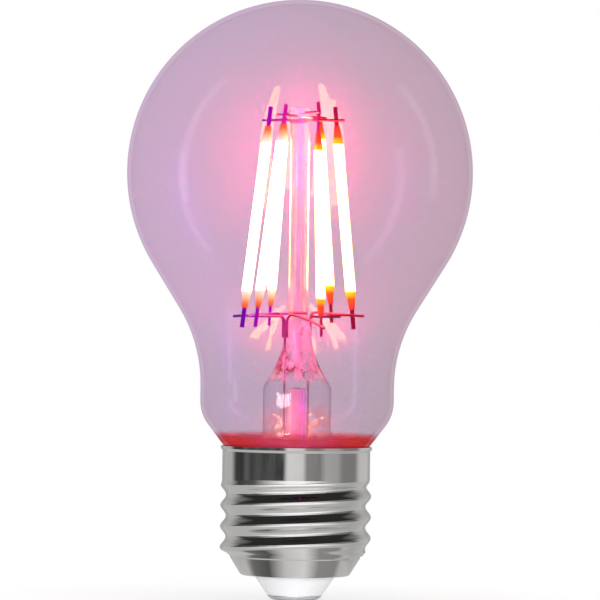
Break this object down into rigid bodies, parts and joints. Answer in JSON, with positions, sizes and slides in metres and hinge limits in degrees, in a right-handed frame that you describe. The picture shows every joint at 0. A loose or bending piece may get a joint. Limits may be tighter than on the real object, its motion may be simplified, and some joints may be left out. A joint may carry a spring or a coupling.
{
  "type": "led grow light bulb",
  "caption": "Clear pear-shaped LED filament bulb that lights plants with red and violet filaments on a glass stem, with a metal screw cap and driver.",
  "frame": {"origin": "centre of the flat face of the tip contact, the bulb's lowest point", "axes": "+Z along the bulb's axis from the tip contact to the crown of the glass, -Y towards the pictured side, +X to the right of it"},
  "size_m": [0.06, 0.06, 0.104],
  "materials": {
    "envelope_glass": "clear polished",
    "stem_glass": "clear, fire polished",
    "nickel_plate": "bright nickel plate on rolled sheet",
    "white_insulator": "smooth white moulding",
    "contact_metal": "pressed tin-plated metal",
    "cement": "rough baked cement",
    "board_laminate": "printed circuit laminate",
    "chip_plastic": "moulded epoxy",
    "capacitor_sleeve": "shrunk sleeve on a can",
    "ferrite": "fired ferrite",
    "copper": "enamelled copper wire",
    "resistor_coat": "dipped lacquer",
    "supply_wire": "tinned wire",
    "nickel_wire": "drawn nickel wire",
    "strip_metal": "plated strip",
    "violet_phosphor": "cast silicone, lit violet",
    "red_phosphor": "cast silicone, lit red"
  },
  "bodies": {
    "root": {"glass_envelope": "envelope_glass", "stem_flare": "stem_glass", "exhaust_tube": "stem_glass", "support_post": "stem_glass", "screw_shell": "nickel_plate", "capping_cement": "cement", "tip_insulator": "white_insulator", "tip_contact": "contact_metal", "driver_board": "board_laminate", "smoothing_capacitor": "capacitor_sleeve", "choke_core": "ferrite", "choke_winding": "copper", "fuse_resistor": "resistor_coat", "driver_chip": "chip_plastic", "rectifier": "chip_plastic", "live_wire": "supply_wire", "neutral_wire": "supply_wire", "filament_1": "violet_phosphor", "filament_2": "violet_phosphor", "filament_3": "violet_phosphor", "filament_4": "red_phosphor", "filament_5": "red_phosphor", "filament_6": "red_phosphor", "filament_strip_1": "strip_metal", "filament_strip_2": "strip_metal", "filament_strip_3": "strip_metal", "filament_strip_4": "strip_metal", "filament_strip_5": "strip_metal", "filament_strip_6": "strip_metal", "bridge_wire_1": "nickel_wire", "bridge_wire_2": "nickel_wire", "bridge_wire_3": "nickel_wire", "front_lead_wire": "nickel_wire", "rear_lead_wire": "nickel_wire", "arm_wire_1": "nickel_wire", "arm_wire_3": "nickel_wire", "arm_wire_4": "nickel_wire", "arm_wire_6": "nickel_wire"}
  },
  "joints": []
}
